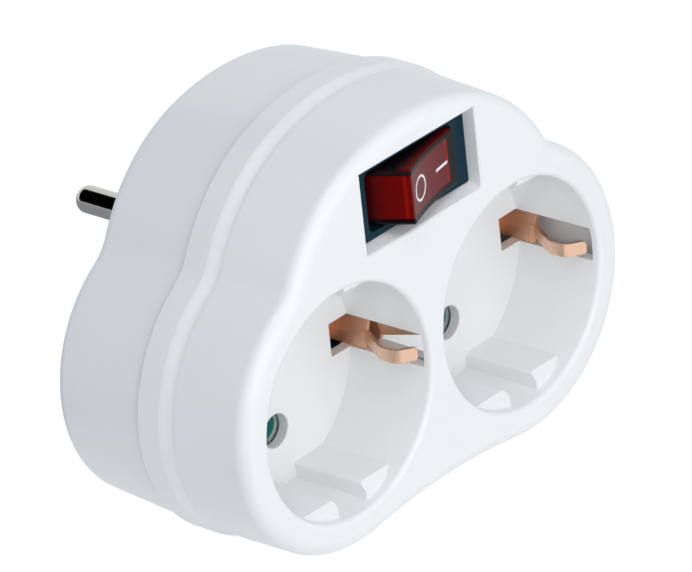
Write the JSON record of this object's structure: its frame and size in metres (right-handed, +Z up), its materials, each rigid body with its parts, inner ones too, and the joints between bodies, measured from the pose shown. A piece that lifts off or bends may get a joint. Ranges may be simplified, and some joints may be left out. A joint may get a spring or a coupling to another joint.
{
  "type": "multi socket adapter",
  "caption": "Plug-in mains adapter with side-by-side earthed socket wells in a lobed white housing and a lit red rocker switch above them.",
  "frame": {"origin": "centre of the plug's end face, midway between the roots of its pins", "axes": "+Y along the pins into the wall outlet, +Z up through the switch, +X to the right as the user faces the sockets"},
  "size_m": [0.0958, 0.0801, 0.0696],
  "materials": {
    "white_plastic": "smooth moulded, low sheen",
    "nickel_plate": "nickel plated, polished",
    "bronze_sheet": "bare spring bronze, lightly tarnished",
    "tinned_contact": "tin plated",
    "carrier_plastic": "moulded, dull",
    "black_plastic": "moulded, fine satin",
    "red_lens": "tinted translucent, polished",
    "white_inlay": "printed inlay",
    "screw_steel": "zinc plated",
    "lamp_glass": "clear glass bulb",
    "resistor_coat": "lacquer",
    "wire_sleeve": "extruded insulation"
  },
  "bodies": {
    "housing": {"front_housing": "white_plastic", "rear_housing": "white_plastic", "housing_screws": "screw_steel", "upper_plug_pin": "nickel_plate", "lower_plug_pin": "nickel_plate", "left_plug_earth_strip": "nickel_plate", "right_plug_earth_strip": "nickel_plate", "left_earth_bracket": "bronze_sheet", "right_earth_bracket": "bronze_sheet", "earth_link": "bronze_sheet", "earth_rivets": "bronze_sheet", "contact_carrier": "carrier_plastic", "left_upper_contact": "tinned_contact", "left_lower_contact": "tinned_contact", "right_upper_contact": "tinned_contact", "right_lower_contact": "tinned_contact", "neutral_bus": "tinned_contact", "live_bus": "tinned_contact", "live_feed_strip": "tinned_contact", "lamp_return_lead": "wire_sleeve", "switch_frame": "black_plastic", "input_terminal": "tinned_contact", "output_terminal": "tinned_contact", "lamp_terminal": "tinned_contact"},
    "rocker": {"rocker": "red_lens", "rocker_marks": "white_inlay", "rocker_plunger": "black_plastic", "rocker_spring": "screw_steel", "neon_lamp": "lamp_glass", "lamp_resistor": "resistor_coat", "lamp_leads": "tinned_contact"},
    "contact_lever": {"contact_lever": "bronze_sheet"}
  },
  "joints": [
    {"name": "rocker_tip", "type": "hinge", "parent": "housing", "child": "rocker", "pos_m": [0, -0.0499, 0.0309], "axis": [0, 0, -1], "range_deg": [0, 30]},
    {"name": "lever_tip", "type": "hinge", "parent": "housing", "child": "contact_lever", "pos_m": [0, -0.0425, 0.0309], "axis": [0, 0, 1], "range_deg": [0, 12]}
  ],
  "couplings": [
    {"joint": "lever_tip", "follows": "rocker_tip", "ratio": 0.4}
  ]
}
